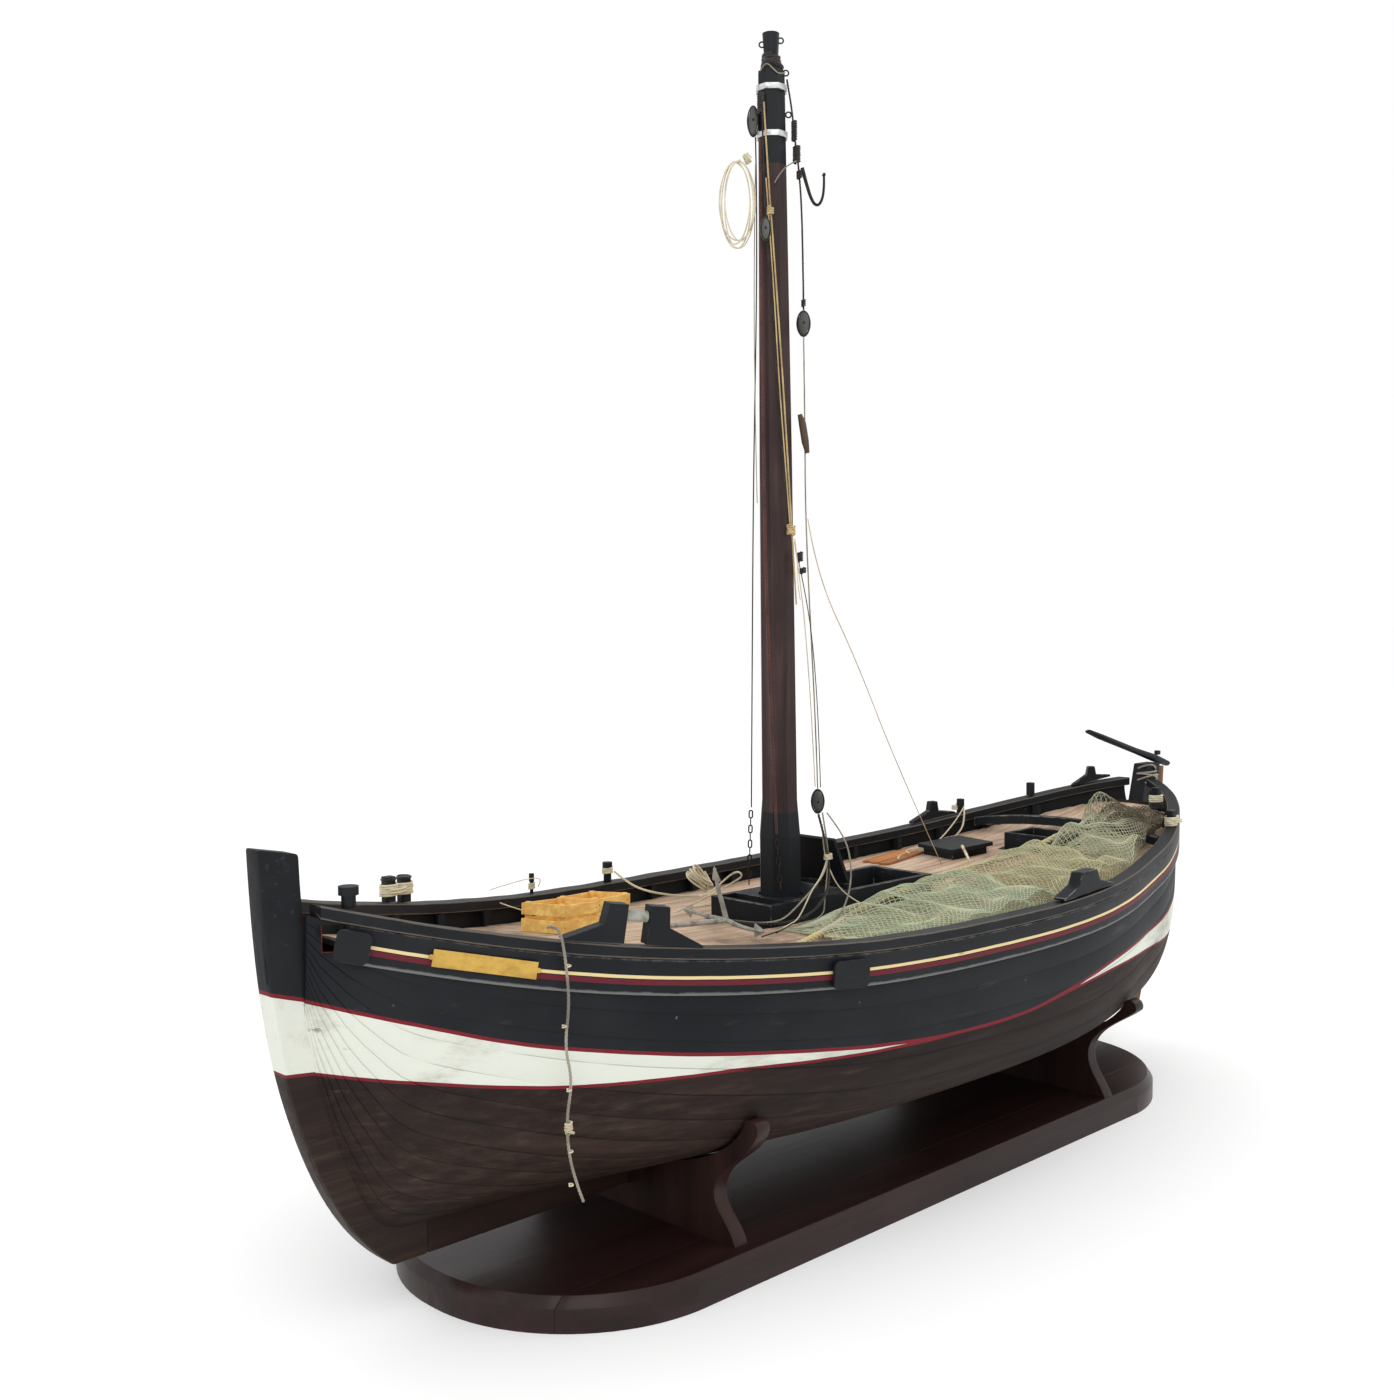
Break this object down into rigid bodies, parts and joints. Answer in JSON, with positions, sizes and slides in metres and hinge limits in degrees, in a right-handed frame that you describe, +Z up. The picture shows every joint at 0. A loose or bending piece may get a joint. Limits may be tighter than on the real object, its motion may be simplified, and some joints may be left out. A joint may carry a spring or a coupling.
{
  "type": "sailing fishing boat model on stand",
  "caption": "Planked double-ended sailing fishing boat model with mast, rudder and tiller, deck gear, nets and rigging, on a shaped wooden stand.",
  "frame": {"origin": "centre of the underside of the stand board", "axes": "+X along the hull towards the stern, +Y to starboard, +Z up"},
  "size_m": [1.2208, 0.3932, 1.018],
  "materials": {
    "hull_black": "satin",
    "hull_brown": "satin",
    "stand_wood": "satin",
    "deck_wood": "satin",
    "crate_wood": "satin",
    "mast_wood": "satin",
    "iron": "matt, rusty",
    "grey_iron": "matt",
    "plate_brass": "worn",
    "band_metal": "satin",
    "net": "knotted twine",
    "rope_cream": "laid rope",
    "rope_dark": "tarred rope",
    "rope_red": "laid rope"
  },
  "bodies": {
    "stand": {"stand_board": "stand_wood", "cradle_fore": "stand_wood", "cradle_aft": "stand_wood"},
    "rudder": {"rudder_blade": "hull_brown", "pintles": "iron", "tiller": "hull_black", "tiller_peg": "iron"},
    "hatch_flap": {"hatch_lid": "hull_black"},
    "small_lid": {"small_hatch_lid": "hull_black"},
    "roller": {"chock_roller": "grey_iron"},
    "crate_near": {"fish_crate_near": "crate_wood"},
    "crate_far": {"fish_crate_far": "crate_wood"},
    "anchor": {"grapnel_anchor": "grey_iron"},
    "hull": {"aft_beam": "hull_black", "aft_coamings": "hull_black", "black_hawser": "rope_dark", "coil_line": "rope_cream", "deck": "deck_wood", "deck_aft": "deck_wood", "frames": "hull_brown", "gudgeons": "iron", "halyard": "rope_cream", "hanging_twine": "rope_cream", "headrope": "rope_cream", "iron_hook": "iron", "keel": "hull_brown", "keelson": "hull_brown", "lid_hinge": "iron", "loop_coil": "rope_cream", "main_coaming": "hull_black", "mast": "mast_wood", "mast_bands": "band_metal", "mast_chains": "iron", "mast_partner": "hull_black", "name_plate": "plate_brass", "net_aft": "net", "net_fore": "net", "net_mid": "net", "pendant": "rope_dark", "planking_port": "hull_brown", "planking_starboard": "hull_brown", "post_line": "rope_cream", "rail_cap_port": "hull_black", "rail_cap_starboard": "hull_black", "rail_chocks": "hull_black", "rail_pins": "hull_black", "roller_chock": "hull_black", "rope_coil": "rope_cream", "shroud_line": "rope_dark", "stanchions": "hull_black", "stem_post": "hull_brown", "stern_post": "hull_brown", "tackle_blocks": "iron", "tackle_fall": "rope_cream", "thin_stay": "rope_cream", "timberheads": "hull_black", "wale_pads": "hull_black", "wale_port": "hull_black", "wale_starboard": "hull_black", "wire_rope": "rope_red"}
  },
  "joints": [
    {"name": "hull_lift", "type": "slide", "parent": "stand", "child": "hull", "axis": [0, 0, 1], "range_m": [0, 0.25]},
    {"name": "rudder_swing", "type": "hinge", "parent": "hull", "child": "rudder", "pos_m": [0.56461, 0, 0.195], "axis": [0.2785, 0, 0.9604], "range_deg": [-32, 32]},
    {"name": "hatch_flap_hinge", "type": "hinge", "parent": "hull", "child": "hatch_flap", "pos_m": [-0.008, 0, 0.2626], "axis": [0, 1, 0], "range_deg": [0, 115]},
    {"name": "roller_spin", "type": "hinge", "parent": "hull", "child": "roller", "pos_m": [-0.35321, -0.12216, 0.29612], "axis": [0.9408, -0.3037, -0.1502], "continuous": true},
    {"name": "small_lid_lift", "type": "slide", "parent": "hull", "child": "small_lid", "axis": [0, 0, 1], "range_m": [0, 0.08]},
    {"name": "crate_near_lift", "type": "slide", "parent": "hull", "child": "crate_near", "axis": [0, 0, 1], "range_m": [0, 0.08]},
    {"name": "crate_far_lift", "type": "slide", "parent": "hull", "child": "crate_far", "axis": [0, 0, 1], "range_m": [0, 0.08]},
    {"name": "anchor_lift", "type": "slide", "parent": "hull", "child": "anchor", "axis": [0, 0, 1], "range_m": [0, 0.08]}
  ]
}
